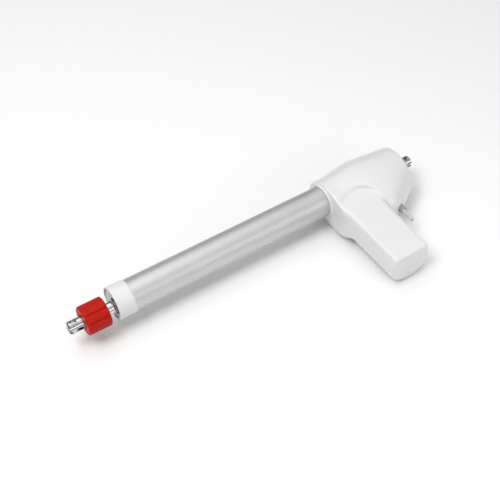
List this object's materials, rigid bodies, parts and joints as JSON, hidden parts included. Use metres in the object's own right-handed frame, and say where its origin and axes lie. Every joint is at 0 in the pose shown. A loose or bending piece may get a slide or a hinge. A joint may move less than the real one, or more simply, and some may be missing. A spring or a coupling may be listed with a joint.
{
  "type": "linear actuator",
  "caption": "Electric linear actuator: worm-geared motor in a white housing drives a rod with a red quick-release knob out of an aluminium tube, with pin-hole forks at both ends.",
  "frame": {"origin": "centre of the rear fork's pin hole", "axes": "+X along the spindle and rod towards the rod end, +Y along the motor housing away from the tube, +Z along the pin holes"},
  "size_m": [0.6323, 0.2174, 0.0806],
  "materials": {
    "housing_plastic": "satin moulded",
    "cap_plastic": "satin moulded",
    "ring_plastic": "matt",
    "seal_rubber": "matt",
    "wiper_rubber": "matt",
    "gland_rubber": "matt",
    "plug_plastic": "satin",
    "tube_aluminium": "satin anodised",
    "rod_chrome": "polished",
    "fork_steel": "bright plated",
    "knob_red": "satin moulded",
    "bush_plastic": "natural",
    "dark_plastic": "matt",
    "board_laminate": "lacquered",
    "screw_steel": "zinc plated",
    "bearing_steel": "ground",
    "spring_steel": "oiled",
    "motor_steel": "plated",
    "cast_alloy": "as cast",
    "magnet_ferrite": "matt",
    "bronze": "sintered"
  },
  "bodies": {
    "housing": {"upper_housing_shell": "housing_plastic", "lower_housing_shell": "housing_plastic", "housing_gasket": "seal_rubber", "housing_screws": "screw_steel", "outer_tube": "tube_aluminium", "tube_seal_ring": "ring_plastic", "tube_end_cap": "cap_plastic", "cap_o_ring": "seal_rubber", "rod_guide_bush": "bush_plastic", "rod_wiper_seal": "wiper_rubber", "switch_strip": "board_laminate", "limit_switches": "dark_plastic", "rear_clevis": "fork_steel", "gear_frame": "cast_alloy", "frame_rear_plate": "cast_alloy", "frame_screws": "screw_steel", "bearing_spacer": "bearing_steel", "bearing_outer_race": "bearing_steel", "bearing_balls": "bearing_steel", "brake_spring": "spring_steel", "motor_front_plate": "motor_steel", "motor_can": "motor_steel", "motor_end_bell": "dark_plastic", "motor_magnets": "magnet_ferrite", "motor_bushes": "bronze", "motor_brushes": "magnet_ferrite", "control_board": "board_laminate", "board_components": "dark_plastic", "cable_gland": "gland_rubber", "cable_plug": "plug_plastic"},
    "rod": {"inner_tube": "rod_chrome", "spindle_nut": "bush_plastic", "rod_end": "fork_steel", "rod_end_pin": "screw_steel", "release_collar": "cast_alloy", "release_spring": "spring_steel"},
    "knob": {"release_knob": "knob_red", "knob_front_ring": "knob_red"},
    "spindle": {"spindle": "bearing_steel", "bearing_lock_nut": "screw_steel", "spindle_end_guide": "bush_plastic", "worm_wheel": "bush_plastic", "brake_hub": "cast_alloy", "bearing_inner_race": "bearing_steel"},
    "rotor": {"motor_shaft": "bearing_steel", "armature": "motor_steel", "commutator": "bronze", "worm": "bearing_steel"}
  },
  "joints": [
    {"name": "rod_extend", "type": "slide", "parent": "housing", "child": "rod", "axis": [1, 0, 0], "range_m": [0, 0.3]},
    {"name": "spindle_spin", "type": "hinge", "parent": "housing", "child": "spindle", "pos_m": [0.1265, 0, 0], "axis": [1, 0, 0], "range_deg": [-9001, 1]},
    {"name": "rotor_spin", "type": "hinge", "parent": "housing", "child": "rotor", "pos_m": [0.1265, 0, -0.018], "axis": [0, 1, 0], "range_deg": [-1, 243001]},
    {"name": "knob_turn", "type": "hinge", "parent": "rod", "child": "knob", "pos_m": [0.58, 0, 0], "axis": [1, 0, 0], "range_deg": [0, 75], "stiffness_Nm_per_rad": 0.3}
  ],
  "couplings": [
    {"joint": "spindle_spin", "follows": "rod_extend", "rad_per_m": -523.6},
    {"joint": "rotor_spin", "follows": "rod_extend", "rad_per_m": 14137}
  ]
}
